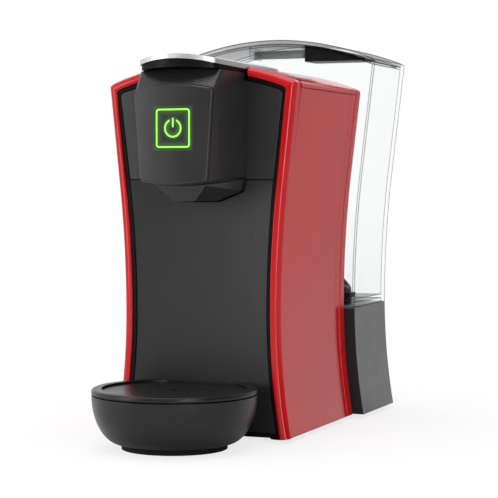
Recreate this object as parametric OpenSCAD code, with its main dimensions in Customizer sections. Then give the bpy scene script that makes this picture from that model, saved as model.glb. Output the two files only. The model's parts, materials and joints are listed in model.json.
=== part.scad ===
// Pod coffee machine: arched shell, lever-operated brewing head, lift-off tank, pull-out drip tray.
// Millimetres, +Z up. X = 0 is the symmetry plane, Z = 0 the table, and the front is towards -Y.
// The origin is the middle of the underside of the whole machine.

/* [Body] */
// Width across the waist
waist_w = 112.2; // [104:0.1:122]
// Height of the waist above the table
waist_z = 84.7; // [70:0.1:100]
// Radius of the side curve above the waist
flare_r = 801; // [700:1:1000]
// Height where the side curve runs out straight
lean_z = 178.8; // [160:0.1:195]
// Radius of the side curve below the waist
foot_flare_r = 475; // [400:1:650]
// Height of the top of the arched shell
body_top_z = 250.6; // [247:0.1:256]
// Radius of the arched top
arch_r = 175.7; // [160:0.1:200]
// Depth of the shell from front to rear
body_d = 132.6; // [126:0.1:142]
// Thickness of the outer skins
skin_t = 2.4; // [1.8:0.1:3]
// Rounding of the shoulders
shoulder_r = 3; // [1:0.1:3.4]
// Height of the feet
foot_h = 3; // [2:0.1:5]
// Radius of a foot
foot_r = 7; // [4:0.1:9]

/* [Frames] */
// Width of the face of the front and rear frames
bezel_w = 6.2; // [5:0.1:8]
// Depth of the front frame
bezel_d = 11; // [9:0.1:14]
// Thickness of the front frame's face
bezel_t = 3; // [2:0.1:4]
// Width of the dark liner inside the front frame
liner_w = 2.6; // [2:0.1:5]
// Depth of the rear frame
rear_frame_d = 10.6; // [8:0.1:14]
// Drop of the side seam below the shoulder
side_seam_drop = 3.5; // [3:0.1:6]
// Set-back of the side panel behind the frames
panel_step = 0.4; // [0.2:0.1:0.8]
// Thickness of the base plate
base_t = 3; // [2:0.1:4]
// Gap where pieces of one housing meet
seam = 0.3; // [0.2:0.05:0.5]

/* [Front] */
// Radius of the hollow front in plan
front_r = 501; // [400:1:800]
// Depth of the hollow front behind the frame, on the centre line
front_recess = 4; // [3.5:0.1:6]
// Thickness of the front panels
panel_t = 2.5; // [1.8:0.1:3]
// Height of the seam across the front
front_seam_z = 173; // [168:0.1:178]

/* [Brewing head] */
// Reach of the head in front of the frame
head_reach = 42.8; // [38:0.1:50]
// Width of the head's face at its top corners
head_top_w = 56; // [50:0.1:60]
// Width of the head's face at its bottom corners
head_bottom_w = 48.6; // [44:0.1:54]
// Height of the head's face at its top corners
head_top_z = 232.3; // [228:0.1:234]
// Height of the head's face at its bottom corners
head_bottom_z = 170.9; // [168:0.1:174]
// Rise of the top edge at the middle
head_rise = 2.5; // [1:0.1:4]
// Drop of the bottom edge at the middle
head_drop = 1.8; // [1:0.1:3]
// Half-width of the head where it meets the frame
head_back_hw = 32.5; // [31:0.1:33.2]
// Corner radius of the head
head_corner_r = 3.6; // [3:0.1:6]
// Wall of the head
head_wall = 2.5; // [1.8:0.1:3]
// Thickness of the head's front cover
cover_t = 2.5; // [2:0.1:4]
// Depth of the sloping brow under the lever
brow_d = 13; // [10:0.1:16]
// Radius of the pod well
pod_r = 14.8; // [12:0.1:16]
// Distance of the pod well in front of the frame
pod_reach = 13; // [12.6:0.1:15]
// Wall of the pod holder
pod_wall = 1.8; // [1.2:0.1:2]
// Height of the floor of the pod well
pod_floor_z = 200; // [196:0.1:204]
// Width of the button
button_w = 24.8; // [22:0.1:27]
// Height of the button
button_h = 26; // [23:0.1:28]
// Corner radius of the button
button_corner_r = 2.6; // [2.2:0.1:5]
// Height of the button's centre
button_z = 206; // [200:0.1:208]
// Travel of the button
button_travel = 1.5; // [1:0.1:2]
// Length of the spout block below the head
spout_drop = 11.9; // [8:0.1:16]
// Distance of the outlet in front of the frame
outlet_reach = 19; // [17:0.1:20]
// Radius of the outlet tube
outlet_r = 4; // [3:0.1:5]

/* [Lever] */
// Width of the lever
lever_w = 67; // [62:0.1:70]
// Height of the lever's crown
lever_top_z = 253.7; // [253:0.1:254.5]
// Fall of the crown from the middle to the sides
lever_fall = 5; // [4.4:0.1:5.6]
// Reach of the lever's nose in front of the frame
lever_reach = 43.7; // [42:0.1:48]
// Radius of the nose in plan
nose_r = 46; // [44:0.1:60]
// Half-width of the nose where its corners start
nose_hw = 27.5; // [24:0.1:30]
// Distance in front of the frame where the sides reach full width
shoulder_reach = 3; // [0:0.1:8]
// Thickness of the lever's bright top
lever_skin = 3; // [2.4:0.1:3.2]
// Thickness of the lever's dark underside
lever_under_t = 5.5; // [5:0.1:6]
// Thickness of the underside at the lever's sides
lever_edge_t = 2.2; // [1.6:0.1:2.6]
// Inset of the underside from the rim of the top
lever_inset = 1.2; // [0.6:0.1:2]
// Distance of the hinge behind the frame
hinge_y = 50; // [46:0.1:54]
// Height of the hinge
hinge_z = 246; // [245.8:0.1:246.2]
// Radius of the hinge pin
pin_r = 2; // [1.6:0.1:2.2]
// Half the distance between the hinge ears
ear_x = 13; // [11:0.1:13.5]
// Thickness of a hinge ear
ear_t = 5; // [4:0.1:6]
// Radial clearance on the hinge pin
pin_clear = 0.05; // [0.02:0.01:0.1]
// Gap round the lever
lever_gap = 0.4; // [0.3:0.1:0.8]

/* [Pod drawer] */
// Width of the bin
bin_w = 84; // [70:0.1:90]
// Depth of the drawer behind the frame
bin_d = 68; // [60:0.1:70]
// Height of the bin's rim
bin_top_z = 140; // [110:0.1:150]
// Height of the bin's underside
bin_floor_z = 14; // [11:0.1:20]
// Wall of the bin
bin_wall = 2; // [1.5:0.1:3]

/* [Drip tray] */
// Radius of the tray
tray_r = 53.6; // [48:0.1:56]
// Distance of the tray's centre in front of the frame
tray_reach = 40.8; // [36:0.1:44]
// Height of the tray's rim
tray_top_z = 39; // [36:0.1:44]
// Height of the joint line below the rim
tray_seam_z = 34.9; // [32:0.1:35]
// Radius of the bowl's underside
tray_bottom_r = 35; // [30:0.1:40]
// Height of the foot ring
tray_foot_h = 3.5; // [2.5:0.1:5]
// Wall of the bowl
tray_wall = 2.2; // [1.6:0.1:3]
// Width of the rim
rim_w = 6.6; // [5:0.1:9]
// Depth of the grid below the rim
grid_drop = 1.6; // [1:0.1:2]
// Thickness of the grid
grid_t = 1.6; // [1.2:0.1:2]
// Radius of the drain hole in the middle of the grid
drain_r = 3; // [2:0.1:4]
// Radius of a small drain hole
hole_r = 1.1; // [0.8:0.1:1.5]
// Number of small drain holes in each ring
hole_count = 12; // [8:1:16]
// Groove between the bowl and the rim
tray_groove = 0.8; // [0.5:0.1:1.2]

/* [Water tank] */
// Gap between the shell and the tank
tank_gap = 2.7; // [2:0.1:5]
// Depth of the tank
tank_d = 72.2; // [60:0.1:80]
// Overhang of the tank beyond the shell on each side
tank_flare = 7.1; // [5:0.1:9]
// Height of the top of the tank's base
tank_base_z = 80; // [70:0.1:90]
// Height of the tank's crown
tank_top_z = 275.3; // [265:0.1:285]
// Radius of the tank's arched top
tank_arch_r = 200.5; // [180:0.1:230]
// Wall of the tank
tank_wall = 2.2; // [1.8:0.1:3]
// Height of the tank's floor above the rim it stands on
tank_rim_h = 5.5; // [4:0.1:8]
// Wall of the tank's base
tank_base_wall = 2.5; // [2:0.1:3]
// Thickness of the lid
lid_t = 2.6; // [2:0.1:4]
// Radius of the tank's valve
valve_r = 8; // [7.5:0.1:10]
// Distance of the valve from the symmetry plane
valve_x = 40; // [38:0.1:44]
// Height of the valve above the tank's floor
valve_h = 13.2; // [12:0.1:16]
// Slant of the valve's top
valve_slant = 43; // [30:1:45]
// Depth of the socket for the valve
socket_d = 11; // [10:0.1:14]

/* [Hidden] */

$fn = 96;
far = 400;
over = 1;
side_step = 3.1;
arch_steps = 20;
fine_fn = 240;

// Places along Y, measured from the face of the front frame; the model's origin is centred.
tank_front = body_d + tank_gap;
tank_back = tank_front + tank_d;
front_y = (tray_reach + tray_r - tank_back) / 2;
base_top = foot_h + base_t;
rear_frame_y = body_d - rear_frame_d;

// Lever's crown
lever_hw = lever_w / 2;
crown_r = (lever_hw * lever_hw + lever_fall * lever_fall) / (2 * lever_fall);
crown_z = lever_top_z - crown_r;
under_z = lever_top_z - lever_skin - lever_under_t;
under_fall = lever_fall - lever_under_t + lever_edge_t;
under_r = (lever_hw * lever_hw + under_fall * under_fall) / (2 * under_fall);
barrel_r = lever_top_z - hinge_z;
trough_r = barrel_r + lever_gap;
channel_hw = lever_hw + lever_gap;
cover_y = hinge_y + barrel_r + lever_gap;
deck_t = 2.5;
ear_r = pin_r + 1.2;
knuckle_r = pin_r + 1.6;
ear_gap = 0.5;
nose_corner_r = 6;
side_turn_r = 40;
pin_hl = ear_x + ear_t / 2 + 6;

function arc_out(r, d) = r - sqrt(r * r - d * d);
function half_w(z) =
    z < waist_z ? waist_w / 2 + arc_out(foot_flare_r, waist_z - z)
    : z < lean_z ? waist_w / 2 + arc_out(flare_r, z - waist_z)
    : waist_w / 2 + arc_out(flare_r, lean_z - waist_z)
        + (z - lean_z) * (lean_z - waist_z) / (flare_r - arc_out(flare_r, lean_z - waist_z));
function arch_z(x, r, top) = top - arc_out(r, x);
function corner_z(g, r, top, z, n = 6) =
    n == 0 ? z : corner_z(g, r, top, arch_z(half_w(z) + g, r, top), n - 1);

// Points of an arc of radius r that rounds corner p between a and b
function unit(v) = v / norm(v);
function corner_arc(a, p, b, r, n = 6) =
    let (u = unit(a - p), v = unit(b - p), half = acos(u * v) / 2, c = p + unit(u + v) * r / sin(half),
         s = p + u * r / tan(half) - c, e = p + v * r / tan(half) - c,
         from = atan2(s[1], s[0]), turn = (atan2(e[1], e[0]) - from + 540) % 360 - 180)
    [for (i = [0:n]) c + r * [cos(from + turn * i / n), sin(from + turn * i / n)]];
function mirrored(half) = concat(half, [for (i = [len(half) - 1:-1:0]) [-half[i][0], half[i][1]]]);

// Outline across the machine: waisted sides offset by g, under an arch
function outline(g, z0, r, top, round_r = shoulder_r) =
    let (zc = corner_z(g, r, top, top - 10), xc = half_w(zc) + g, n = max(1, floor((zc - z0)
        / side_step)),
         side = [for (i = [0:n - 1]) let (z = z0 + (zc - z0) * i / n) [half_w(z) + g, z]],
         crown = [for (i = [1:arch_steps - 1]) let (x = xc * (1 - i / arch_steps)) [x, arch_z(x, r,
             top)]])
    mirrored(concat(side, corner_arc(side[n - 1], [xc, zc], crown[0], round_r), crown));
function body_outline(g, z0) = outline(g, z0, arch_r + g, body_top_z + g);
function tank_outline(g, z0, lift = 0) = outline(tank_flare + g, z0, tank_arch_r, tank_top_z + lift);
shoulder_z = corner_z(0, arch_r, body_top_z, body_top_z - 10);
side_top_z = shoulder_z - side_seam_drop;

rest_gap = seam / 3;

// Base, bulkhead and fasteners
base_hw = half_w(base_top) - bezel_w - seam;
base_side_hw = half_w(base_top) - skin_t - seam;
tank_base_hw = half_w(base_top) + tank_flare - tank_base_wall - seam;
foot_front_y = 22;
foot_rear_x = 30;
foot_rear_edge = 16;
rear_panel_y = body_d - rear_frame_d / 2;
bulkhead_y = bin_d + 6;
bulkhead_t = 3;
bay_y = bulkhead_y + bulkhead_t;
runner_x = bin_w / 2 - 6;
runner_hw = 2;
screw_r = 1.6;
screw_head_r = 3.2;
screw_head_t = 1.5;
screw_sink = 0.3;
screw_recess = 1.8;
screw_x = 45;
screw_edge = 8;
screw_ys = [bay_y + screw_edge, rear_panel_y - screw_edge];
boss_r = 4.5;
boss_h = 8;
panel_g = -bezel_w - seam / 2 - liner_w - seam;

// Deck under the lever
deck_front = front_recess + panel_t + 2 * seam;
deck_seat_z = 232;
deck_seat_hw = 30;

// Head, pod path and spout
head_face_y = -head_reach + cover_t + seam;
head_back_y = front_recess + 2;
brow_y = head_face_y + brow_d;
button_flange = 2;
button_flange_t = 1.6;
line_inset = 0.5;
line_w = 1;
line_t = 0.2;
symbol_r = 6;
window_hw = 18.5;
window_z0 = pod_floor_z - 16;
window_z1 = pod_floor_z + 26;
pod_exit_h = 10;
well_floor_t = 4;
stem_r = 3;
stem_l = 3;
stem_drop = 11;
stem_z = button_z - stem_drop;
switch_y = head_face_y + stem_l + button_travel + seam;
switch_r = 2.5;
switch_l = 2;
switch_board_hw = 18;
switch_board_h = 16;
switch_board_drop = 1;
switch_board_z1 = pod_floor_z - switch_board_drop;
switch_board_z0 = switch_board_z1 - switch_board_h;
circuit_t = 1.4;
peg_r = 1.5;
peg_x = 14;
chute_hw = window_hw - seam;
chute_y = pod_wall + pod_r - pod_reach + seam;
chute_l = 30;
chute_h = 14;
chute_t = 1.6;
chute_angle = 40;
spout_top_hw = 18;
spout_tip_hw = 7.5;
spout_tip_y = -outlet_reach - outlet_r - 2;
spout_top_y = spout_tip_y - 6.5;
spout_tip_z = head_bottom_z - spout_drop;
spout_low_hw = 12.6;
spout_rear_hw = head_back_hw - 2.5;
spout_rear_z = head_bottom_z - 5;
spout_rear_y = -2;
spout_gap = 0.8;
tube_tip = 0.4;
press_inset = 2.5;
press_r = pod_r - press_inset;
press_drop = 9;
press_z = hinge_z - press_drop;
needle_l = 4;
needle_r = 1.95;
needle_tip_r = 0.4;
needle_seat = 3;

// Drip tray
bowl_h = tray_seam_z - tray_foot_h;
rim_in_r = tray_r - rim_w;
grid_z = tray_top_z - grid_drop - grid_t;
ring_rs = [rim_in_r * 0.3, rim_in_r * 0.6];
rim_chamfer = 1.6;
rim_break = 0.5;

// Tank and its socket
tank_floor = tank_base_z + seam;
tank_in_z = tank_floor + tank_rim_h;
valve_y = tank_front + tank_d / 2;
socket_r = valve_r + seam;
socket_wall = 2;
socket_floor_z = tank_base_z - socket_d;
spigot_wall = 1;
post_r = 2;
port_r = 0.8;
port_edge = 0.1;
ring_r = 1.1;
valve_low_z = socket_floor_z + 2 * ring_r + seam;
valve_top_z = tank_in_z + valve_h;
plunger_r = 2.6;
plunger_head_r = 5;
plunger_gap = 0.4;
plunger_head_t = 1.7;
plunger_seat_z = tank_floor + 1;
collar_w = 3.2;
seal_t = 1;
plunger_lift = 5;
plunger_z = socket_floor_z + plunger_lift;
lid_ledge = 2.5;
lid_y0 = tank_front + tank_wall + seam;
lid_y1 = tank_back - tank_wall - seam;
pocket_hw = 21;
pocket_y0 = lid_y0 + lid_ledge + 0.5;
pocket_y1 = pocket_y0 + 24;
pocket_bar_y = pocket_y0 + 7;
pocket_depth = 13;
pocket_bar_h = 6;
pocket_z = tank_top_z - pocket_depth;
pocket_t = 1.4;
baffle_depth = 16;
baffle_trim = 4;
baffle_z = tank_top_z - baffle_depth;
baffle_h = tank_top_z - lid_t - baffle_z;
baffle_end_x = sqrt(2 * tank_arch_r * baffle_h - baffle_h * baffle_h) - baffle_trim;
gland_r = 6;
gland_lip = 2;
gland_bore = 3.6;
gland_x = -46;
gland_z = 20;

// Pump bay
pump_r = 16;
pump_hl = 30;
pump_y = (bay_y + rear_panel_y) / 2;
pump_z = 40;
pump_shelf_z = 22;
saddle_x = 22;
saddle_hw = 5;
saddle_hd = 10;
pump_end_r = 10;
pump_end_l = 8;
hose_r = 4;
heater_hw = 25;
heater_dd = 36;
heater_y = pump_y - heater_dd / 2;
heater_z = 120;
heater_h = 70;
feed_z = 220;
riser_x = pump_hl + 10;
board_z = 194;
board_w = 36;
board_h = 34;
board_x = -46;
board_standoff = 5;
board_edge = 4;
board_peg_r = 2;
relay_w = 14;
relay_h = 18;
relay_d = 12;
capacitor_r = 5;
capacitor_l = 14;
meter_r = 10;
meter_l = 15;
meter_x = -30;
meter_z = 90;
fin_t = 4;
fin_count = 6;
fin_edge = 5;

// Helpers
module place() translate([0, front_y, 0]) children();
module slab(points, y0, y1) translate([0, y1, 0]) rotate([90, 0, 0]) linear_extrude(y1 - y0)
    polygon(points);
module block(a, b) translate(a) cube(b - a);
module mid_block(hw, y0, y1, z0, z1) block([-hw, y0, z0], [hw, y1, z1]);
module y_rod(r, y0, y1, x, z) translate([x, y1, z]) rotate([90, 0, 0]) cylinder(r = r, h = y1 - y0);
module x_rod(r, x0, x1, y, z) translate([x0, y, z]) rotate([0, 90, 0]) cylinder(r = r, h = x1 - x0);
module z_rod(r, z0, z1, x, y) translate([x, y, z0]) cylinder(r = r, h = z1 - z0);
module z_tube(r, bore, z0, z1, x, y) difference() {
    z_rod(r, z0, z1, x, y);
    z_rod(bore, z0 - over, z1 + over, x, y);
}
module band(g_out, g_in, y0, y1, z0 = foot_h) difference() {
    slab(body_outline(g_out, z0), y0, y1);
    slab(body_outline(g_in, z0 - over), y0 - over, y1 + over);
}
module crown_bar(r, y0, y1) translate([0, y1, crown_z]) rotate([90, 0, 0]) cylinder(r = r, h = y1 - y0,
    $fn = fine_fn);
// Everything below the lever's underside, grown by g
module under_bar(g) translate([0, far, under_z - under_r]) rotate([90, 0, 0])
    cylinder(r = under_r + g, h = 2 * far, $fn = fine_fn);
module below_deck(d = 0) under_bar(-lever_gap - d);
module lever_channel() difference() {
    mid_block(channel_hw, -far / 2, cover_y, crown_z, far);
    below_deck();
}
// Everything in front of the hollow front surface, moved back by d
module before_front(d) translate([0, front_recess - front_r, 0]) cylinder(r = front_r + d, h = far,
    $fn = fine_fn);

// ---------- Shell ----------
module front_frame(side) color("firebrick") place() mirror([side < 0 ? 1 : 0, 0, 0]) intersection() {
    union() {
        band(0, -bezel_w, 0, bezel_t);
        band(0, -skin_t, 0, bezel_d);
    }
    block([channel_hw, -over, 0], [far, far, far]);
}

module front_liner() color("black") place() difference() {
    union() {
        band(-bezel_w - seam / 2, -bezel_w - seam / 2 - liner_w, bezel_t / 3,
            front_recess + panel_t + seam, base_top + seam);
        band(-skin_t - seam, -bezel_w - seam / 2 - liner_w, bezel_t + seam,
            front_recess + panel_t + seam, base_top + seam);
    }
    mid_block(channel_hw, -over, cover_y, crown_z, far);
}

module side_panel(side) color("crimson") place() mirror([side < 0 ? 1 : 0, 0, 0]) intersection() {
    union() {
        band(-panel_step, -skin_t, bezel_d + seam, rear_frame_y - seam);
        for (i = [1:3])
            let (rib_y = bezel_d + (rear_frame_y - bezel_d) * i / 4)
                band(-skin_t + 0.1, -skin_t - 2, rib_y, rib_y + skin_t, base_top + seam);
    }
    block([0, -over, 0], [far, far, side_top_z]);
}

module top_cover() color("crimson") place() difference() {
    band(0, -skin_t, bezel_d + seam, rear_frame_y - seam, side_top_z + seam);
    mid_block(channel_hw, -over, cover_y, crown_z, far);
}

module rear_frame() color("darkred") place() band(0, -bezel_w, rear_frame_y, body_d);

module rear_panel() color("dimgray") place() difference() {
    slab(body_outline(-bezel_w - seam, base_top + seam), rear_panel_y, rear_panel_y + panel_t);
    y_rod(hose_r + seam, 0, far, valve_x, pump_z);
}

module at_screws() for (x = [-screw_x, screw_x], y = screw_ys) translate([x, y, foot_h]) children();

module base_plate() color("black") place() difference() {
    union() {
        mid_block(base_hw, seam + bezel_t, tank_front + tank_base_wall + seam, foot_h, base_top);
        mid_block(tank_base_hw, tank_front + tank_base_wall + seam, tank_back - tank_base_wall - seam,
            foot_h, base_top);
        mid_block(base_side_hw, bezel_d + seam, rear_frame_y - seam, foot_h, base_top);
        for (x = [-runner_x, runner_x])
            block([x - runner_hw, bezel_d, base_top - seam], [x + runner_hw, bin_d, bin_floor_z - seam]);
    }
    at_screws() {
        translate([0, 0, -over]) cylinder(r = screw_r + seam, h = base_t + 2 * over);
        translate([0, 0, -over]) cylinder(r = screw_head_r + seam, h = over + screw_recess);
    }
}

module base_screws() color("silver") place() at_screws() {
    translate([0, 0, screw_sink]) cylinder(r = screw_head_r, h = screw_head_t);
    cylinder(r = screw_r, h = base_t + boss_h - over);
}

module feet() color("black") place()
    for (x = [-1, 1], foot = [[base_hw - foot_r, foot_front_y], [foot_rear_x,
        tank_back - foot_rear_edge]])
        z_rod(foot_r, 0, foot_h, x * foot[0], foot[1]);

// Bulkhead between the pod drawer and the pump bay, with shelves, screw bosses and the deck's seat
module chassis() color("gray") place() difference() {
    union() {
        slab(body_outline(-skin_t - 3, base_top + seam), bulkhead_y, bay_y);
        for (x = [-screw_x, screw_x])
            block([x - 1.5, bulkhead_y, base_top + seam], [x + 1.5, rear_panel_y - seam,
                base_top + boss_h]);
        at_screws() translate([0, 0, base_t + seam]) cylinder(r = boss_r, h = boss_h);
        mid_block(heater_hw, bulkhead_y, heater_y + heater_dd, heater_z - 3 - seam, heater_z - seam);
        mid_block(saddle_x + 6, bulkhead_y, rear_panel_y - seam, pump_shelf_z - 3, pump_shelf_z);
    }
    at_screws() cylinder(r = screw_r + pin_clear, h = base_t + boss_h + over);
    mid_block(deck_seat_hw + 2, 0, far, deck_seat_z - seam, far);
    y_rod(hose_r, 0, bay_y + over, 0, feed_z);
}

// ---------- Top deck and hinge ----------
module hinge_ear(x) {
    x_rod(ear_r, x - ear_t / 2, x + ear_t / 2, hinge_y, hinge_z);
    block([x - ear_t / 2, hinge_y - ear_r, hinge_z - trough_r - deck_t / 2], [x + ear_t / 2,
        hinge_y + ear_r, hinge_z]);
}

module top_deck() color("black") place() difference() {
    union() {
        difference() {
            intersection() {
                mid_block(channel_hw + 2, deck_front, cover_y, deck_seat_z, far);
                slab(body_outline(-skin_t - seam, crown_z), deck_front - over, cover_y + over);
            }
            difference() {
                mid_block(channel_hw, 0, cover_y + over, deck_seat_z, far);
                below_deck();
            }
            intersection() {
                mid_block(channel_hw - over, 0, hinge_y - trough_r - deck_t, 0, far);
                below_deck(deck_t);
            }
            x_rod(trough_r, -channel_hw, channel_hw, hinge_y, hinge_z);
        }
        for (x = [-ear_x, ear_x]) hinge_ear(x);
        mid_block(deck_seat_hw, cover_y - over, bay_y, deck_seat_z, deck_seat_z + deck_t);
    }
    x_rod(pin_r + pin_clear, -pin_hl, pin_hl, hinge_y, hinge_z);
}

module hinge_pin() color("silver") place() x_rod(pin_r, -pin_hl, pin_hl, hinge_y, hinge_z);

// ---------- Front ----------
module front_skin(z0, z1) intersection() {
    difference() {
        before_front(panel_t);
        before_front(0);
    }
    slab(body_outline(panel_g, z0), -over, front_recess + panel_t + over);
    block([-far, -over, z0], [far, far, z1]);
}

module upper_front_panel() color("#2b2b2b") place() difference() {
    front_skin(front_seam_z + seam, far);
    lever_channel();
    mid_block(window_hw, -far, far, window_z0, window_z1);
}

module drawer_front() color("#2b2b2b") place() difference() {
    front_skin(base_top + seam, front_seam_z - seam);
    slab(spout_rear(spout_gap, front_seam_z + over), -far, far);
}

// ---------- Brewing head ----------
module head_slice(y, spread, grow, z_top, z_bottom, inset) {
    top_hw = head_top_w / 2 * (1 - spread) + head_back_hw * spread + grow - head_corner_r;
    bottom_hw = head_bottom_w / 2 * (1 - spread) + head_back_hw * spread + grow - head_corner_r;
    for (u = [-1:0.5:1]) {
        y_rod(head_corner_r - inset, y, y + 0.2, u * top_hw,
            z_top - head_corner_r + head_rise * (1 - u * u), $fn = 24);
        y_rod(head_corner_r - inset, y, y + 0.2, u * bottom_hw,
            z_bottom + head_corner_r - head_drop * (1 - u * u), $fn = 24);
    }
}

module head_form(inset, y0 = head_face_y) hull() {
    head_slice(y0, 0, 0, head_top_z, head_bottom_z, inset);
    head_slice(brow_y, brow_d / head_reach, 0, lever_top_z - lever_under_t, head_bottom_z, inset);
    head_slice(head_back_y, 1, 0, lever_top_z, head_bottom_z + 2, inset);
}

module pod_well(r, z0, z1) z_rod(r, z0, z1, 0, -pod_reach);

module head_housing() color("#303030") place() difference() {
    intersection() {
        head_form(0);
        below_deck();
        before_front(-seam);
    }
    intersection() {
        head_form(head_wall, head_face_y + head_wall);
        below_deck(head_wall);
    }
    band(0, panel_g, bezel_t / 3 - seam, far, base_top);
    pod_well(pod_r + pod_wall + seam, pod_floor_z, far);
    key_form(button_flange + 2 * seam, head_face_y - over, head_face_y + head_wall + over);
    z_rod(outlet_r + seam, 0, pod_floor_z, 0, -outlet_reach);
}

module cover_plate(y0, y1, shrink) hull() for (y = [y0, y1 - 0.2])
    head_slice(y, 0, -shrink, head_top_z - shrink, head_bottom_z + shrink, 0);
module head_cover() color("#353535") place() difference() {
    union() {
        cover_plate(-head_reach + cover_t / 3, -head_reach + cover_t, 0.4);
        hull() {
            head_slice(-head_reach, 0, -1.4, head_top_z - 1.4, head_bottom_z + 1.4, 0);
            head_slice(-head_reach + cover_t / 3, 0, -0.4, head_top_z - 0.4, head_bottom_z + 0.4, 0);
        }
    }
    key_form(lever_gap, -far, far);
}

// Button's outline grown by g
module key_form(g, y0, y1) {
    hw = button_w / 2 + g;
    hh = button_h / 2 + g;
    r = button_corner_r + g;
    mid_block(hw - r, y0, y1, button_z - hh, button_z + hh);
    mid_block(hw, y0, y1, button_z - hh + r, button_z + hh - r);
    for (x = [r - hw, hw - r], z = [button_z - hh + r, button_z + hh - r]) y_rod(r, y0, y1, x, z);
}

module brew_button() color("#202020") place() {
    key_form(0, -head_reach, head_face_y + over);
    key_form(button_flange, head_face_y, head_face_y + button_flange_t);
    y_rod(stem_r, head_face_y + over, head_face_y + stem_l, 0, stem_z);
}

module button_light() color("limegreen") place() {
    difference() {
        key_form(-line_inset, -head_reach - line_t, -head_reach);
        key_form(-line_inset - line_w, -far, far);
    }
    translate([0, -head_reach, button_z]) rotate([90, 0, 0]) linear_extrude(line_t) {
        difference() {
            circle(r = symbol_r);
            circle(r = symbol_r - line_w);
            translate([-symbol_r * 0.4, 0]) square([symbol_r * 0.8, far]);
        }
        translate([-line_w / 2, symbol_r * 0.1]) square([line_w, symbol_r]);
    }
}

module switch_board() color("darkgreen") place() {
    mid_block(switch_board_hw, switch_y + switch_l, switch_y + switch_l + circuit_t, switch_board_z0,
        switch_board_z1);
    y_rod(switch_r, switch_y, switch_y + switch_l + 0.1, 0, stem_z);
    for (x = [-peg_x, peg_x])
        y_rod(peg_r, head_face_y + head_wall + seam, switch_y + switch_l + 0.1, x,
            switch_board_z0 + 2 * peg_r);
}

module pod_holder() color("dimgray") place() difference() {
    intersection() {
        pod_well(pod_r + pod_wall, pod_floor_z, far);
        below_deck();
    }
    pod_well(pod_r, pod_floor_z + well_floor_t, far);
    mid_block(pod_r * 0.7, -pod_reach, far, pod_floor_z + well_floor_t,
        pod_floor_z + well_floor_t + pod_exit_h);
    z_rod(outlet_r / 2, 0, far, 0, -outlet_reach);
}

module drop_chute() color("gray") place()
    translate([0, chute_y, pod_floor_z + well_floor_t - chute_t]) rotate([-chute_angle, 0, 0])
        difference() {
        mid_block(chute_hw, 0, chute_l, 0, chute_h);
        mid_block(chute_hw - chute_t, -over, chute_l + over, chute_t, chute_h + over);
    }

// Cross-section of the spout where it meets the front, grown by g
function spout_rear(g, z1) = mirrored([[spout_low_hw + g, spout_tip_z - g], [spout_rear_hw + g,
    spout_rear_z - g],
    [spout_rear_hw + 2 + g, z1]]);
module spout() color("#262626") place() difference() {
    union() {
        intersection() {
            hull() {
                mid_block(spout_top_hw, spout_top_y, spout_rear_y, head_bottom_z - head_drop,
                    head_bottom_z + 4);
                mid_block(spout_tip_hw, spout_tip_y, spout_rear_y, spout_tip_z, spout_tip_z + 1);
                slab(spout_rear(0, front_seam_z), spout_rear_y, head_back_y);
            }
            before_front(-seam);
        }
        slab(spout_rear(0, front_seam_z - seam), 0, head_back_y);
    }
    head_form(-seam);
    z_rod(outlet_r + seam, 0, far, 0, -outlet_reach);
}

module outlet_tube() color("black") place() 
    z_tube(outlet_r, outlet_r / 2, spout_tip_z - tube_tip, pod_floor_z - seam, 0, -outlet_reach);

// ---------- Lever ----------
function lever_plan(inset) =
    let (r = nose_r - inset, cy = -lever_reach + nose_r, a = asin(nose_hw / nose_r), n = 10,
         nose = [for (i = [1:n]) r * [sin(a * i / n), -cos(a * i / n)] + [0, cy]],
         side = [lever_hw - inset, -shoulder_reach])
    mirrored(concat(
        [for (i = [0:n - 2]) nose[i]],
        corner_arc(nose[n - 2], nose[n - 1], side, nose_corner_r),
        corner_arc(nose[n - 1], side, [lever_hw - inset, hinge_y], side_turn_r),
        [[lever_hw - inset, cover_y]]));

module lever_solid(inset) intersection() {
    translate([0, 0, crown_z]) linear_extrude(crown_r + over) polygon(lever_plan(inset));
    children();
    union() {
        block([-far, -far, 0], [far, hinge_y, far]);
        x_rod(barrel_r, -far / 2, far / 2, hinge_y, hinge_z);
    }
}

module lever_top() color("silver") place() lever_solid(0) difference() {
    crown_bar(crown_r, -far, far);
    crown_bar(crown_r - lever_skin, -far, far);
}

module lever_underside() color("black") place() difference() {
    union() {
        difference() {
            lever_solid(lever_inset) crown_bar(crown_r - lever_skin, -far, far);
            under_bar(0);
        }
        intersection() {
            x_rod(knuckle_r, -pin_hl, pin_hl, hinge_y, hinge_z);
            crown_bar(crown_r - lever_skin, -far, far);
        }
    }
    for (x = [-ear_x, ear_x])
        block([x - ear_t / 2 - ear_gap, hinge_y - ear_r - ear_gap, crown_z], [x + ear_t / 2 + ear_gap,
            far, far]);
    x_rod(pin_r + pin_clear, -pin_hl - ear_gap, pin_hl + ear_gap, hinge_y, hinge_z);
}

module pod_press() color("dimgray") place() difference() {
    intersection() {
        pod_well(press_r, press_z, lever_top_z);
        under_bar(-pin_clear);
    }
    pod_well(needle_r + pin_clear, press_z - over, press_z + needle_seat);
}

module piercing_needle() color("silver") place() translate([0, -pod_reach, press_z - needle_l]) {
    cylinder(r1 = needle_tip_r, r2 = needle_r, h = needle_l / 2);
    translate([0, 0, needle_l / 2]) cylinder(r = needle_r, h = needle_l / 2 + needle_seat - seam);
}

// ---------- Pod drawer ----------
module pod_bin() color("#3a3a3a") place() difference() {
    mid_block(bin_w / 2, 0, bin_d, bin_floor_z, bin_top_z);
    before_front(panel_t + seam / 2);
    difference() {
        mid_block(bin_w / 2 - bin_wall, 0, bin_d - bin_wall, bin_floor_z + bin_wall, far);
        before_front(panel_t + bin_wall);
    }
}

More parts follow.
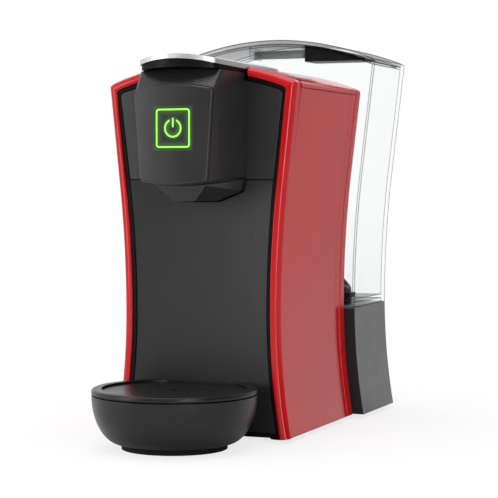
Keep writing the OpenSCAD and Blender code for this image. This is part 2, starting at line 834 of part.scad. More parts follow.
// ---------- Drip tray ----------
function bowl_curve(inset) = [for (a = [0:6:90])
    [tray_bottom_r + (tray_r - tray_bottom_r) * sin(a) - inset, tray_foot_h + bowl_h * (1 - cos(a))
        + inset]];
module at_tray() translate([0, -tray_reach, 0]) children();
module tray_turn(points) at_tray() rotate_extrude($fn = 120) polygon(points);

module tray_bowl() color("#1c1c1c") place() difference() {
    intersection() {
        tray_turn(concat([[0, tray_foot_h]], bowl_curve(0), [[0, tray_seam_z]]));
        before_front(-seam);
    }
    intersection() {
        tray_turn(concat([[0, tray_foot_h + tray_wall]], bowl_curve(tray_wall), [[0, far]]));
        before_front(-seam - tray_wall);
    }
}

module tray_foot() color("black") place() at_tray()
    z_tube(tray_bottom_r - 0.7, tray_bottom_r - 5, 0, tray_foot_h, 0, 0);

module tray_rim() color("#1c1c1c") place() difference() {
    intersection() {
        tray_turn([[0, tray_seam_z + seam], [tray_r - tray_groove, tray_seam_z + seam],
            [tray_r, tray_seam_z + tray_groove + seam], [tray_r, tray_top_z - rim_chamfer],
            [tray_r - rim_break, tray_top_z - rim_break], [tray_r - rim_chamfer, tray_top_z], [0,
                tray_top_z]]);
        before_front(-seam);
    }
    intersection() {
        at_tray() z_rod(rim_in_r, grid_z, far, 0, 0);
        before_front(-seam - rim_w / 2);
    }
    intersection() {
        at_tray() z_rod(rim_in_r - 3, 0, far, 0, 0);
        before_front(-seam - rim_w);
    }
}

module drip_grid() color("#222222") place() difference() {
    intersection() {
        at_tray() z_rod(rim_in_r - seam, grid_z, grid_z + grid_t, 0, 0);
        before_front(-2 * seam - rim_w / 2);
    }
    at_tray() {
        z_rod(drain_r, 0, far, 0, 0);
        for (ring = ring_rs, i = [0:hole_count - 1]) rotate([0, 0, (i + 0.5) * 360 / hole_count])
            z_rod(hole_r, 0, far, ring, 0);
    }
}

// ---------- Water tank ----------
module below(z) intersection() {
    children();
    block([-far, -far, -over], [far, far, z]);
}
module at_valve() translate([valve_x, valve_y, 0]) children();

module tank_base() color("dimgray") place() difference() {
    below(tank_base_z) slab(tank_outline(0, foot_h), tank_front, tank_back);
    below(tank_base_z - tank_base_wall)
        slab(tank_outline(-tank_base_wall, foot_h - over), tank_front + tank_base_wall,
            tank_back - tank_base_wall);
    mid_block(base_hw + seam, 0, tank_front + tank_base_wall + over, 0, base_top + seam);
    z_rod(socket_r, foot_h, far, valve_x, valve_y);
    y_rod(hose_r + seam, 0, valve_y, valve_x, pump_z);
    y_rod(gland_r + seam, valve_y, far, gland_x, gland_z);
}

module tank_socket() color("black") place() at_valve() difference() {
    union() {
        z_rod(socket_r + socket_wall, socket_floor_z - socket_wall,
            tank_base_z - tank_base_wall - rest_gap, 0, 0);
        z_rod(socket_r + 3 * socket_wall, tank_base_z - tank_base_wall - socket_wall,
            tank_base_z - tank_base_wall - rest_gap, 0, 0);
        z_rod(hose_r + spigot_wall, socket_floor_z - 3 * socket_wall, socket_floor_z, 0, 0);
    }
    difference() {
        z_rod(socket_r, socket_floor_z, far, 0, 0);
        z_rod(post_r, 0, plunger_z - seam, 0, 0);
    }
    for (a = [0:90:270]) rotate([0, 0, a]) z_rod(port_r, 0, far, post_r + port_r + port_edge, 0);
}

module socket_seal() color("black") place() at_valve() translate([0, 0, socket_floor_z + ring_r])
    rotate_extrude() translate([socket_r - socket_wall, 0]) circle(r = ring_r, $fn = 24);

module cord_gland() color("black") place() difference() {
    union() {
        y_rod(gland_r, tank_back - tank_base_wall - over, tank_back, gland_x, gland_z);
        y_rod(gland_r + gland_lip, tank_back - tank_base_wall - gland_lip - over,
            tank_back - tank_base_wall - seam,
            gland_x, gland_z);
    }
    y_rod(gland_bore, tank_back - gland_lip, far, gland_x, gland_z);
}

module tank_shell() color("white", 0.3) place() difference() {
    union() {
        difference() {
            slab(tank_outline(0, tank_floor), tank_front, tank_back);
            slab(tank_outline(-tank_wall, tank_in_z, 3 * tank_wall), tank_front + tank_wall,
                tank_back - tank_wall);
        }
        difference() {
            slab(tank_outline(-tank_wall / 2, lean_z, -lid_t - seam), tank_front + tank_wall / 2,
                tank_back - tank_wall / 2);
            slab(tank_outline(0, foot_h, -lid_t - seam - 1.5), tank_front - over, tank_back + over);
            slab(tank_outline(-tank_wall - lid_ledge, lean_z - over), lid_y0 + lid_ledge,
                lid_y1 - lid_ledge);
        }
    }
    below(tank_in_z - tank_wall)
        slab(tank_outline(-tank_wall, foot_h), tank_front + tank_wall, tank_back - tank_wall);
    z_rod(valve_r + pin_clear, 0, far, valve_x, valve_y);
}

module valve_body() color("black") place() difference() {
    at_valve() union() {
        z_rod(valve_r, valve_low_z, valve_top_z + valve_r, 0, 0);
        z_rod(valve_r + collar_w, tank_in_z + seal_t + rest_gap, tank_in_z + collar_w, 0, 0);
    }
    at_valve() z_rod(plunger_r + plunger_gap, 0, far, 0, 0);
    at_valve() z_rod(plunger_head_r + plunger_gap, plunger_seat_z, far, 0, 0);
    at_valve() translate([0, 0, valve_top_z]) rotate([0, valve_slant, 0])
        translate([-far / 2, -far / 2, 0]) cube([far, far, far]);
}

module valve_seal() color("black") place() 
    z_tube(valve_r + collar_w - seam, valve_r + rest_gap, tank_in_z + rest_gap, tank_in_z + seal_t,
        valve_x, valve_y);

module valve_plunger() color("white") place() at_valve() {
    z_rod(plunger_r, plunger_z, plunger_seat_z + seam + plunger_head_t, 0, 0);
    z_rod(plunger_head_r, plunger_seat_z + seam, plunger_seat_z + seam + plunger_head_t, 0, 0);
}

// Thin arched lid with a finger pocket under its middle
module tank_lid() color("dimgray", 0.7) place() {
    difference() {
        slab(tank_outline(-tank_wall - seam, lean_z), lid_y0, lid_y1);
        slab(tank_outline(0, foot_h, -lid_t), tank_front, tank_back);
    }
    intersection() {
        slab(tank_outline(-tank_wall - lid_ledge, lean_z, -lid_t / 2), pocket_y0, pocket_y1);
        union() {
            for (x = [-pocket_hw, pocket_hw])
                block([x - pocket_t / 2, pocket_y0, pocket_z], [x + pocket_t / 2, pocket_y1, far]);
            mid_block(pocket_hw, pocket_bar_y, pocket_bar_y + pocket_t, pocket_z,
                pocket_z + pocket_bar_h);
        }
    }
}

// Wedge under the right half of the lid, following its arch
function baffle_points(x0, x1, top, n = 12) = concat([[x1, baffle_z], [x0, baffle_z]],
    [for (i = [0:n]) let (x = x0 + (x1 - x0) * i / n) [x, arch_z(x, tank_arch_r, top)]]);
module lid_baffle() color("black") place()
    slab(baffle_points(pocket_hw + pocket_t, baffle_end_x, tank_top_z - lid_t - rest_gap), pocket_y0,
        pocket_y1);

// ---------- Pump bay ----------
module water_pump() color("gray") place() {
    x_rod(pump_r, -pump_hl + pump_end_l, pump_hl - pump_end_l, pump_y, pump_z);
    x_rod(pump_end_r, -pump_hl, pump_hl, pump_y, pump_z);
}

module pump_mounts() color("black") place() difference() {
    for (x = [-saddle_x, saddle_x])
        block([x - saddle_hw, pump_y - saddle_hd, pump_shelf_z + rest_gap],
            [x + saddle_hw, pump_y + saddle_hd, pump_z - pump_r / 2]);
    x_rod(pump_r + rest_gap, -pump_hl + pump_end_l - rest_gap, pump_hl - pump_end_l + rest_gap, pump_y,
        pump_z);
    x_rod(pump_end_r + rest_gap, -far, far, pump_y, pump_z);
}

module heater_block() color("lightgray") place() {
    mid_block(heater_hw - fin_t, heater_y, heater_y + heater_dd, heater_z, heater_z + heater_h);
    for (i = [0:fin_count - 1])
        let (z = heater_z + fin_edge + i * (heater_h - 2 * fin_edge - fin_t) / (fin_count - 1))
            mid_block(heater_hw, heater_y + fin_t, heater_y + heater_dd - fin_t, z, z + fin_t);
}

module flow_meter() color("white") place() y_rod(meter_r, bay_y + rest_gap, bay_y + meter_l, meter_x,
    meter_z);

module control_board() color("green") place() {
    board_y = bay_y + board_standoff;
    relay_x = board_x + board_edge + 2;
    block([board_x, board_y, board_z], [board_x + board_w, board_y + circuit_t, board_z + board_h]);
    for (x = [board_x + board_edge, board_x + board_w - board_edge], z = [board_z + board_edge,
        board_z + board_h - board_edge])
        y_rod(board_peg_r, bay_y + rest_gap, board_y + 0.1, x, z);
    block([relay_x, board_y + 0.1, board_z + board_h / 2 - relay_h / 2],
        [relay_x + relay_w, board_y + relay_d, board_z + board_h / 2 + relay_h / 2]);
    y_rod(capacitor_r, board_y + 0.1, board_y + capacitor_l, board_x + board_w - 2 * board_edge,
        board_z + board_h / 2);
}

module water_hoses() color("white") place() {
    z_rod(hose_r, pump_z, socket_floor_z - 3 * socket_wall - rest_gap, valve_x, valve_y);
    y_rod(hose_r, pump_y, valve_y, valve_x, pump_z);
    for (y = [pump_y, valve_y]) translate([valve_x, y, pump_z]) sphere(r = hose_r);
    x_rod(hose_r, pump_hl + rest_gap, valve_x, pump_y, pump_z);

    x_rod(hose_r, -riser_x, -pump_hl - rest_gap, pump_y, pump_z);
    z_rod(hose_r, pump_z, heater_z + heater_h / 2, -riser_x, pump_y);
    for (z = [pump_z, heater_z + heater_h / 2]) translate([-riser_x, pump_y, z]) sphere(r = hose_r);
    x_rod(hose_r, -riser_x, -heater_hw - rest_gap, pump_y, heater_z + heater_h / 2);

    z_rod(hose_r - 1, heater_z + heater_h + rest_gap, feed_z, 0, pump_y);
    translate([0, pump_y, feed_z]) sphere(r = hose_r - 1);
    y_rod(hose_r - 1, chute_y, pump_y, 0, feed_z);
}

base_plate();
feet();
base_screws();
chassis();
front_frame(-1);  // front_frame_left
front_frame(1);  // front_frame_right
front_liner();
side_panel(-1);  // side_panel_left
side_panel(1);  // side_panel_right
top_cover();
top_deck();
hinge_pin();
rear_frame();
rear_panel();
upper_front_panel();
head_housing();
head_cover();
pod_holder();
drop_chute();
spout();
outlet_tube();
switch_board();
tank_base();
tank_socket();
socket_seal();
cord_gland();
water_pump();
pump_mounts();
heater_block();
flow_meter();
control_board();
water_hoses();
lever_top();
lever_underside();
pod_press();
piercing_needle();
drawer_front();
pod_bin();
tray_bowl();
tray_foot();
tray_rim();
drip_grid();
tank_shell();
valve_body();
valve_seal();
valve_plunger();
tank_lid();
lid_baffle();
brew_button();
button_light();
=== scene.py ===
"""Looks of the pod coffee machine: dressed shells, materials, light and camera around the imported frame."""
import math

import bmesh
import bpy
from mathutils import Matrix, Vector
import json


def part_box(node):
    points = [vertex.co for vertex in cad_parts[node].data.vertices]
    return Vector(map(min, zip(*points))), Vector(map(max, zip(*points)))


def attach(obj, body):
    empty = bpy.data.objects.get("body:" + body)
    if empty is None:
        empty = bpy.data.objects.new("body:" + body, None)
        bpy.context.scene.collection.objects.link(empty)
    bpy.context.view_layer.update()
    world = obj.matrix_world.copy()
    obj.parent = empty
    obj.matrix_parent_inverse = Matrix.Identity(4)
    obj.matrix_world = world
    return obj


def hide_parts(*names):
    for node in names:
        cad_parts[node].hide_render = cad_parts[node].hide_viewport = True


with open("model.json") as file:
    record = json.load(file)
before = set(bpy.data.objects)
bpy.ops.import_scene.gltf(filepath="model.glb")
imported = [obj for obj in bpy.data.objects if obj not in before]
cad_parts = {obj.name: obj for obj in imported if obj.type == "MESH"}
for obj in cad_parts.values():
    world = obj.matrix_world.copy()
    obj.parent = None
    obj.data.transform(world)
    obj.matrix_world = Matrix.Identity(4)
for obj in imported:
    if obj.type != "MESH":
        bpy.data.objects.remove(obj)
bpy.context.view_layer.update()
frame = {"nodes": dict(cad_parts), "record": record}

MM = 0.001
NODES = frame["nodes"]
BODIES = frame["record"]["behaviour"]["bodies"]
BODY_OF = {node: body for body, nodes in BODIES.items() for node in nodes}
SLOT_OF = {part["node"]: part["material_slot"] for part in frame["record"]["subparts"]}
FRONT_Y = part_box("front_frame_left")[0].y
SEAM_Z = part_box("drawer_front")[1].z + 0.1 * MM

# Places on the machine that its materials follow, in metres.
KEY_MIDDLE = (0.0, 0.0, 0.206)
LIT_OUTLINE = (0.0124, 1.0, 0.0130)     # half width, a depth that counts for nothing, half height
SYMBOL_RADIUS = 0.0048
SYMBOL_HALO = (0.0034, 0.0006)          # distances from the symbol's ring where its light ends and is full
LID_BAR_HALF_WIDTH = 0.0203
LID_BAR_TOP_Z = 0.2684

# Spans over which a material changes.
NUMBER_DRIFT = (0.30, 0.70)             # of a noise, for roughness
COLOR_DRIFT = (0.35, 0.65)              # of a noise, for colour
EDGE_ON = (0.72, 0.97)                  # of Layer Weight's Facing, which is 1 for a face seen edge on
NEAR_RIM = (0.98, 0.87)                 # of the likeness of the rounded normal and the true one
TO_FRONT = (-0.55, -0.85)               # of the Y of the normal, which is -1 for a face to the front

WHITE = (1.0, 1.0, 1.0, 1.0)
PAPER = (0.86, 0.86, 0.86, 1.0)
KEY_GREEN = (0.10, 0.42, 0.01, 1.0)
SMOOTHEST = 0.02                        # the least roughness of a plastic
DIM_SHARE = 0.85                        # the darkest parts of a lit symbol, as a share of its colour

# The floor, and the room round it.
FLOOR_SIZE = 8
FLOOR_FADE = (0.14, 0.42)               # distances from the middle between which the floor turns white
WHITE_SHARE = (0.78, 1.0)               # how much of the floor is plain white at these two distances
BRIGHT_SIDE = (-0.80, 0.45, 0.40)       # the room is brightest on the left, behind the machine and above it
ROOM_LEAN = (-0.6, 0.7)                 # of a direction towards the bright side
ROOM_LIGHT = (0.05, 1.0)                # the room's strength over that lean
LIGHTS_AIM = Vector((0, 0, 0.13))


# ---------------------------------------------------------------- material nodes
def new_material(name):
    material = bpy.data.materials.new(name)
    material.use_nodes = True
    tree = material.node_tree
    tree.nodes.clear()
    return material, tree, tree.nodes.new("ShaderNodeOutputMaterial")


def add(tree, kind, inputs=None, **props):
    """Adds a node. Each of its inputs takes a plain value, or the output of another node that feeds it."""
    node = tree.nodes.new(kind)
    for key, value in props.items():
        setattr(node, key, value)
    for key, value in (inputs or {}).items():
        if isinstance(value, bpy.types.NodeSocket):
            tree.links.new(value, node.inputs[key])
        else:
            node.inputs[key].default_value = value
    return node


def maths(tree, operation, first, second=None):
    inputs = {0: first} if second is None else {0: first, 1: second}
    return add(tree, "ShaderNodeMath", inputs, operation=operation).outputs[0]


def vector_maths(tree, operation, first, second=None):
    inputs = {0: first} if second is None else {0: first, 1: second}
    return add(tree, "ShaderNodeVectorMath", inputs, operation=operation)


def scaled(tree, color, factor):
    return add(tree, "ShaderNodeVectorMath", {0: color, "Scale": factor}, operation="SCALE").outputs[0]


def axes_of(tree, vector):
    return add(tree, "ShaderNodeSeparateXYZ", {0: vector}).outputs


def mapped(tree, value, span, result, curve="LINEAR"):
    """Turns the span of a value into the span of its result, and holds it at the ends."""
    inputs = {
        "Value": value, "From Min": span[0], "From Max": span[1],
        "To Min": result[0], "To Max": result[1]}
    return add(tree, "ShaderNodeMapRange", inputs, interpolation_type=curve).outputs["Result"]


def two_colors(tree, value, span, low, high):
    """Runs from the low colour to the high one over the span of a value."""
    node = add(tree, "ShaderNodeValToRGB", {"Fac": value})
    for element, place, color in zip(node.color_ramp.elements, span, (low, high)):
        element.position = place
        element.color = (*color, 1)
    return node.outputs["Color"]


def bump_of(tree, height, strength, distance):
    return add(tree, "ShaderNodeBump", {"Strength": strength, "Distance": distance, "Height": height})


def position(tree):
    """The place on a piece, in metres."""
    coord = tree.nodes.get("coord") or add(tree, "ShaderNodeTexCoord", name="coord")
    return coord.outputs["Object"]


def noise(tree, scale, detail):
    inputs = {"Vector": position(tree), "Scale": scale, "Detail": detail, "Roughness": 0.5}
    return add(tree, "ShaderNodeTexNoise", inputs).outputs["Fac"]


def node_of(material, kind):
    return next(node for node in material.node_tree.nodes if node.type == kind)


# ---------------------------------------------------------------- materials
def plastic(name, color, rough, vary=0.06, rough_vary=0.04, grain=900, grain_depth=0.02, wave_depth=0.0,
            metallic=0.0, coat=0.0, coat_rough=0.05, spec=0.5):
    """Moulded plastic or paint: soft colour drift, uneven gloss, fine surface grain and a slow wave."""
    material, tree, out = new_material(name)
    dark = tuple(c * (1 - vary) for c in color)
    light = tuple(min(1, c * (1 + vary)) for c in color)
    gloss = (max(SMOOTHEST, rough - rough_vary), rough + rough_vary)
    fine = bump_of(tree, noise(tree, scale=grain, detail=2.0), strength=grain_depth, distance=0.4 * MM)
    if wave_depth:
        slow = bump_of(tree, noise(tree, scale=25.0, detail=1.0), strength=wave_depth, distance=2 * MM)
        tree.links.new(slow.outputs["Normal"], fine.inputs["Normal"])
    bsdf = add(tree, "ShaderNodeBsdfPrincipled", {
        "Base Color": two_colors(tree, noise(tree, scale=18.0, detail=3.0), COLOR_DRIFT, dark, light),
        "Roughness": mapped(tree, noise(tree, scale=60.0, detail=4.0), NUMBER_DRIFT, gloss),
        "Normal": fine.outputs["Normal"],
        "Metallic": metallic, "Coat Weight": coat, "Coat Roughness": coat_rough, "Specular IOR Level": spec})
    tree.links.new(bsdf.outputs["BSDF"], out.inputs["Surface"])
    return material


def clear_plastic(name, color, rough, thin_share, rim_shade, rim_width, tint=0.0, edge_shade=0.35):
    """Clear moulded plastic, darker where it is seen edge on (edge_shade) and near its rims (rim_shade).

    Shadow rays and thin_share of all other rays go straight through. The rest is bent and mirrored.
    """
    material, tree, out = new_material(name)
    haze = noise(tree, scale=40.0, detail=3.0)
    flow = bump_of(tree, noise(tree, scale=14.0, detail=1.0), strength=0.03, distance=1 * MM)
    bsdf = add(tree, "ShaderNodeBsdfPrincipled", {
        "Base Color": (*color, 1), "Transmission Weight": 1.0, "IOR": 1.46,
        "Roughness": mapped(tree, haze, NUMBER_DRIFT, (rough * 0.5, rough * 1.5)),
        "Normal": flow.outputs["Normal"]})

    # The rounded normal turns away from the true one near an edge, so their product falls below 1 there.
    rounded = add(tree, "ShaderNodeBevel", {"Radius": rim_width * MM}, samples=6)
    geometry = add(tree, "ShaderNodeNewGeometry")
    likeness = vector_maths(tree, "DOT_PRODUCT", rounded.outputs["Normal"], geometry.outputs["Normal"])
    rim = mapped(tree, likeness.outputs["Value"], NEAR_RIM, (1.0, rim_shade))

    facing = add(tree, "ShaderNodeLayerWeight", {"Blend": 0.5}).outputs["Facing"]
    face_color = tuple(c * (1 - tint) for c in color)
    edge_color = tuple(c * edge_shade for c in color)
    paint = two_colors(tree, facing, EDGE_ON, face_color, edge_color)
    thin = add(tree, "ShaderNodeBsdfTransparent", {"Color": scaled(tree, paint, rim)})
    path = add(tree, "ShaderNodeLightPath")
    share = maths(tree, "MAXIMUM", path.outputs["Is Shadow Ray"], thin_share)
    mix = add(tree, "ShaderNodeMixShader", {"Fac": share, 1: bsdf.outputs["BSDF"], 2: thin.outputs["BSDF"]})
    tree.links.new(mix.outputs["Shader"], out.inputs["Surface"])
    return material


def painted_bar_shade(material, half_width, top, share):
    """Paints shade on a clear piece near its middle and below a height, where the grip bar in the lid is."""
    tree = material.node_tree
    color = node_of(material, "BSDF_TRANSPARENT").inputs["Color"]
    paint = color.links[0].from_socket
    place = axes_of(tree, position(tree))
    near = maths(tree, "LESS_THAN", maths(tree, "ABSOLUTE", place["X"]), half_width)
    low = maths(tree, "LESS_THAN", place["Z"], top)
    # Painted shade: the place of the grip bar is darkened down to this share of its colour.
    level = mapped(tree, maths(tree, "MULTIPLY", near, low), (0.0, 1.0), (1.0, share))
    tree.links.new(scaled(tree, paint, level), color)
    return material


def key_glow(material, spill, strength, symbol=False):
    """Green light that spills from the key's lit outline into the plastic round it, and from its symbol.

    The spill grows from nothing to full between two outlines, given as multiples of the lit one.
    """
    tree = material.node_tree
    away = vector_maths(tree, "SUBTRACT", position(tree), KEY_MIDDLE).outputs[0]
    shares = vector_maths(tree, "DIVIDE", away, LIT_OUTLINE).outputs[0]
    size = axes_of(tree, vector_maths(tree, "ABSOLUTE", shares).outputs[0])
    outline = maths(tree, "MAXIMUM", size["X"], size["Z"])
    light = mapped(tree, outline, spill, (0.0, 1.0), "SMOOTHSTEP")
    if symbol:
        flat = vector_maths(tree, "MULTIPLY", away, (1.0, 0.0, 1.0)).outputs[0]
        reach = vector_maths(tree, "LENGTH", flat).outputs["Value"]
        off_ring = maths(tree, "ABSOLUTE", maths(tree, "SUBTRACT", reach, SYMBOL_RADIUS))
        halo = mapped(tree, off_ring, SYMBOL_HALO, (0.0, 1.0), "SMOOTHSTEP")
        light = maths(tree, "MAXIMUM", halo, light)
    bsdf = node_of(material, "BSDF_PRINCIPLED")
    bsdf.inputs["Emission Color"].default_value = KEY_GREEN
    tree.links.new(maths(tree, "MULTIPLY", light, strength), bsdf.inputs["Emission Strength"])
    return material


def crowned(material, bend, above=0.0):
    """A slight crown of the faces above a height: they lean outwards towards their sides."""
    tree = material.node_tree
    fine = next(node for node in tree.nodes if node.type == "BUMP" and not node.inputs["Normal"].is_linked)
    place = axes_of(tree, position(tree))
    square = maths(tree, "MULTIPLY", place["X"], place["X"])
    gate = maths(tree, "GREATER_THAN", place["Z"], above)
    height = maths(tree, "MULTIPLY", maths(tree, "MULTIPLY", square, gate), -bend)
    crown = bump_of(tree, height, strength=1.0, distance=1.0)
    tree.links.new(crown.outputs["Normal"], fine.inputs["Normal"])
    return material


def painted_shade_to_front(material, share):
    """Darkens the faces that look to the front, as the front wall of the tank's base is in the photo."""
    tree = material.node_tree
    color = node_of(material, "BSDF_PRINCIPLED").inputs["Base Color"]
    paint = color.links[0].from_socket
    geometry = add(tree, "ShaderNodeNewGeometry")
    # Painted shade: faces that look to the front are darkened down to this share of their colour.
    level = mapped(tree, axes_of(tree, geometry.outputs["Normal"])["Y"], TO_FRONT, (1.0, share))
    tree.links.new(scaled(tree, paint, level), color)
    return material


def glowing(name, color, strength):
    """A lit symbol, with a slight unevenness of its light guide."""
    material, tree, out = new_material(name)
    dim = tuple(c * DIM_SHARE for c in color)
    bsdf = add(tree, "ShaderNodeBsdfPrincipled", {
        "Base Color": (*color, 1), "Roughness": 0.35,
        "Emission Color": two_colors(tree, noise(tree, scale=220.0, detail=2.0), COLOR_DRIFT, dim, color),
        "Emission Strength": strength})
    tree.links.new(bsdf.outputs["BSDF"], out.inputs["Surface"])
    return material


MATERIALS = {
    "gloss_red": plastic(
        "gloss_red", (0.50, 0.005, 0.008), 0.12, vary=0.03, rough_vary=0.03, grain=500, grain_depth=0.010,
        wave_depth=0.015, spec=0.30),
    "satin_black": plastic(
        "satin_black", (0.004, 0.004, 0.0045), 0.36, grain=1400, grain_depth=0.05, spec=0.10),
    "charcoal_panel": crowned(
        plastic("charcoal_panel", (0.015, 0.015, 0.016), 0.34, grain=1500, grain_depth=0.08, spec=0.42),
        bend=1.3, above=SEAM_Z),
    "charcoal_cover": crowned(key_glow(
        plastic("charcoal_cover", (0.014, 0.014, 0.015), 0.32, grain=1500, grain_depth=0.08, spec=0.42),
        spill=(1.16, 1.00), strength=0.16), bend=1.9),
    "button_black": key_glow(
        plastic("button_black", (0.010, 0.013, 0.009), 0.30, grain=900, grain_depth=0.02),
        spill=(0.55, 0.98), strength=0.26, symbol=True),
    "tray_black": plastic(
        "tray_black", (0.007, 0.007, 0.0075), 0.34, grain=1500, grain_depth=0.08, spec=0.32),
    "rubber_black": plastic(
        "rubber_black", (0.010, 0.010, 0.010), 0.75, grain=1800, grain_depth=0.25, spec=0.2),
    "silver_lever": plastic(
        "silver_lever", (0.60, 0.60, 0.61), 0.40, vary=0.03, grain=700, grain_depth=0.002, metallic=0.9,
        coat=0.2, coat_rough=0.12),
    "clear_tank": clear_plastic(
        "clear_tank", (0.99, 0.995, 0.995), 0.015, thin_share=0.95, rim_shade=0.05, rim_width=1.5),
    "smoked_lid": painted_bar_shade(
        clear_plastic("smoked_lid", (0.93, 0.93, 0.94), 0.05, thin_share=0.86, rim_shade=0.30, rim_width=0.5,
                      tint=0.05, edge_shade=0.4),
        LID_BAR_HALF_WIDTH, LID_BAR_TOP_Z, share=0.42),
    "grey_plastic": painted_shade_to_front(
        plastic("grey_plastic", (0.15, 0.15, 0.15), 0.45, grain=1400, grain_depth=0.10, spec=0.3),
        share=0.12),
    "white_plastic": plastic("white_plastic", (0.70, 0.70, 0.68), 0.45, grain=1200, grain_depth=0.05),
    "steel": plastic("steel", (0.55, 0.55, 0.56), 0.28, grain=2000, grain_depth=0.05, metallic=1.0),
    "board_green": plastic("board_green", (0.02, 0.16, 0.06), 0.35, grain=1500, grain_depth=0.05),
    "green_light": glowing("green_light", (0.24, 0.78, 0.08), 0.95),
}


# ---------------------------------------------------------------- pieces
# Widths of the moulded edges of the dressed shells, in millimetres.
EDGE_WIDTHS = {
    "front_frame_left": 0.5, "front_frame_right": 0.5, "side_panel_left": 0.4, "side_panel_right": 0.4,
    "top_cover": 0.5, "rear_frame": 0.8, "rear_panel": 0.3, "upper_front_panel": 0.3, "drawer_front": 0.3,
    "front_liner": 0.3, "lever_top": 1.2, "lever_underside": 1.8, "tray_bowl": 0.3, "tray_rim": 0.5,
    "drip_grid": 0.25, "tank_base": 1.2, "tank_shell": 0.3, "tank_lid": 0.3, "head_housing": 0.4,
    "head_cover": 0.9, "spout": 0.5, "brew_button": 0.3,
}
# Widths of the front frames' outer rims, which are rounded far more than the frames' other edges.
RIM_WIDTHS = {"front_frame_left": 4.6, "front_frame_right": 4.6}
EDGE_STEPS = 3
RIM_STEPS = 6
WELD = 0.02 * MM                        # points nearer than this to each other become one
FLAT = math.radians(0.4)                # faces that meet at less than this become one
ROUNDED = math.radians(28)              # edges above this angle are rounded
SHARP = math.radians(35)                # shading breaks at edges above this angle
SHORT = 0.8 * MM                        # edges shorter than this would spoil the wide rim and are taken out
IN_FACE = 0.05 * MM                     # how near to the front a point of the front face lies
LEAN = 0.3                              # how far a normal leans to an axis to count as looking along it


def settle(obj, body, slot, *replaced):
    """Applies the modifiers, gives the piece its material and fixes it to its body."""
    depsgraph = bpy.context.evaluated_depsgraph_get()
    depsgraph.update()
    mesh = bpy.data.meshes.new_from_object(obj.evaluated_get(depsgraph))
    obj.modifiers.clear()
    obj.data = mesh
    mesh.materials.clear()
    mesh.materials.append(MATERIALS[slot])
    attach(obj, body)
    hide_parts(*replaced)


def on_outer_rim(edge, front):
    """True for an edge between a frame's front face and its outward or upward side."""
    if any(abs(vert.co.y - front) > IN_FACE for vert in edge.verts) or len(edge.link_faces) != 2:
        return False
    side = min((face.normal for face in edge.link_faces), key=lambda normal: abs(normal.y))
    middle = (edge.verts[0].co + edge.verts[1].co) / 2
    outward = side.x * middle.x > LEAN * abs(middle.x)
    return abs(side.y) < LEAN and (outward or side.z > LEAN)


def weigh_rim(bm, front, share):
    """Gives the outer rim the whole width of the bevel, and the other edges their share of it."""
    bmesh.ops.dissolve_degenerate(bm, dist=SHORT, edges=bm.edges)
    weights = bm.edges.layers.float.new("bevel_weight_edge")
    for edge in bm.edges:
        if edge.calc_face_angle(0) > ROUNDED:
            edge[weights] = 1.0 if on_outer_rim(edge, front) else share


def dress(node, width, rim_width):
    """A cleaned copy of a CAD shell with its moulded edges rounded."""
    mesh = NODES[node].data.copy()
    bm = bmesh.new()
    bm.from_mesh(mesh)
    bmesh.ops.remove_doubles(bm, verts=bm.verts, dist=WELD)
    bmesh.ops.dissolve_limit(bm, angle_limit=FLAT, verts=bm.verts, edges=bm.edges)
    bmesh.ops.recalc_face_normals(bm, faces=bm.faces)
    if rim_width:
        weigh_rim(bm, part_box(node)[0].y, width / rim_width)
    bm.to_mesh(mesh)
    bm.free()
    mesh.polygons.foreach_set("use_smooth", [True] * len(mesh.polygons))
    mesh.set_sharp_from_angle(angle=SHARP)
    skin = bpy.data.objects.new(node + "_skin", mesh)
    bpy.context.scene.collection.objects.link(skin)
    bevel = skin.modifiers.new("edge", "BEVEL")
    bevel.width = (rim_width or width) * MM
    bevel.segments = RIM_STEPS if rim_width else EDGE_STEPS
    bevel.limit_method = "WEIGHT" if rim_width else "ANGLE"
    bevel.angle_limit = ROUNDED
    bevel.use_clamp_overlap = not rim_width
    shade = skin.modifiers.new("shade", "WEIGHTED_NORMAL")
    shade.keep_sharp = True
    settle(skin, BODY_OF[node], SLOT_OF[node], node)


for name, obj in NODES.items():
    obj.data.materials.clear()
    obj.data.materials.append(MATERIALS[SLOT_OF[name]])
    if name in EDGE_WIDTHS:
        dress(name, EDGE_WIDTHS[name], RIM_WIDTHS.get(name, 0.0))


# ---------------------------------------------------------------- floor and room
def build_floor():
    """White for the camera far from the machine. Nearer to it, some of the paper's own shading shows."""
    bpy.ops.mesh.primitive_plane_add(size=FLOOR_SIZE)
    floor = bpy.context.object
    floor.name = "floor"
    material, tree, out = new_material("floor_white")
    paper = add(tree, "ShaderNodeBsdfDiffuse", {"Color": PAPER})
    glow = add(tree, "ShaderNodeEmission", {"Color": WHITE, "Strength": 1.0})
    away = vector_maths(tree, "LENGTH", position(tree)).outputs["Value"]
    white_share = mapped(tree, away, FLOOR_FADE, WHITE_SHARE, "SMOOTHSTEP")
    path = add(tree, "ShaderNodeLightPath")
    share = maths(tree, "MULTIPLY", path.outputs["Is Camera Ray"], white_share)
    mix = add(tree, "ShaderNodeMixShader", {"Fac": share, 1: paper.outputs[0], 2: glow.outputs[0]})
    tree.links.new(mix.outputs[0], out.inputs["Surface"])
    floor.data.materials.append(material)


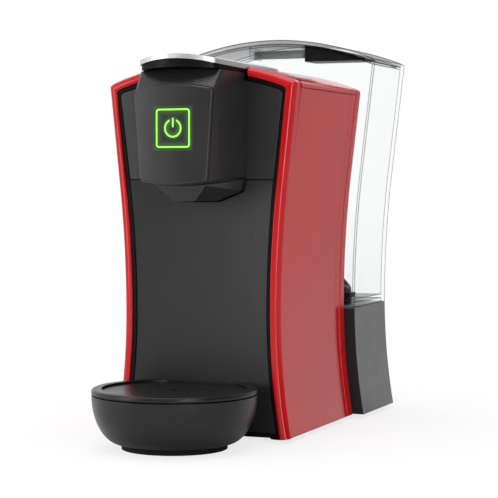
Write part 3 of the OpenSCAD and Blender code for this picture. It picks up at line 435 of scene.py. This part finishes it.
def build_room():
    """White for the camera, also through the clear tank, and a soft light with one bright side."""
    world = bpy.data.worlds.new("studio")
    bpy.context.scene.world = world
    world.use_nodes = True
    tree = world.node_tree
    tree.nodes.clear()
    towards = add(tree, "ShaderNodeTexCoord").outputs["Generated"]
    lean = vector_maths(tree, "DOT_PRODUCT", towards, BRIGHT_SIDE).outputs["Value"]
    level = mapped(tree, lean, ROOM_LEAN, ROOM_LIGHT)
    room = add(tree, "ShaderNodeBackground", {"Color": WHITE, "Strength": level})
    white = add(tree, "ShaderNodeBackground", {"Color": WHITE, "Strength": 1.0})
    path = add(tree, "ShaderNodeLightPath")
    seen = maths(tree, "MAXIMUM", path.outputs["Is Camera Ray"], path.outputs["Is Transmission Ray"])
    mix = add(tree, "ShaderNodeMixShader", {"Fac": seen, 1: room.outputs[0], 2: white.outputs[0]})
    add(tree, "ShaderNodeOutputWorld", {"Surface": mix.outputs[0]})


# ---------------------------------------------------------------- lights and camera
def area_light(name, place, width, height, power):
    data = bpy.data.lights.new(name, "AREA")
    data.shape = "RECTANGLE"
    data.size = width
    data.size_y = height
    data.energy = power
    lamp = bpy.data.objects.new(name, data)
    lamp.location = place
    lamp.rotation_euler = (LIGHTS_AIM - Vector(place)).to_track_quat("-Z", "Y").to_euler()
    bpy.context.scene.collection.objects.link(lamp)


def build_lights():
    area_light("key_left", (-0.95, -1.0, 0.45), width=0.5, height=0.9, power=5.0)
    area_light("front", (0.30, -1.45, 0.75), width=0.45, height=0.45, power=1.0)
    area_light("top", (0.05, -0.1, 1.3), width=0.9, height=0.9, power=8.0)
    area_light("strip_right", (0.93, -1.11, 0.25), width=0.26, height=1.2, power=9.0)


# The camera was fitted to the straight edges of the shell in the photo.
CAMERA_TARGET = Vector((35.3 * MM, FRONT_Y, 127.5 * MM))
CAMERA_AZIMUTH = math.radians(21.991)
CAMERA_ELEVATION = math.radians(2.281)
CAMERA_DISTANCE = 1.146
LENS = 126.03


def build_camera():
    level = math.cos(CAMERA_ELEVATION)
    back = Vector((math.sin(CAMERA_AZIMUTH) * level, -math.cos(CAMERA_AZIMUTH) * level,
                   math.sin(CAMERA_ELEVATION)))
    data = bpy.data.cameras.new("camera")
    data.lens = LENS
    data.sensor_width = 36.0
    data.clip_end = 20.0
    camera = bpy.data.objects.new("camera", data)
    camera.location = CAMERA_TARGET + back * CAMERA_DISTANCE
    camera.rotation_euler = (-back).to_track_quat("-Z", "Y").to_euler()
    bpy.context.scene.collection.objects.link(camera)
    bpy.context.scene.camera = camera


build_floor()
build_room()
build_lights()
build_camera()
bpy.context.scene.view_settings.view_transform = "Standard"

import json
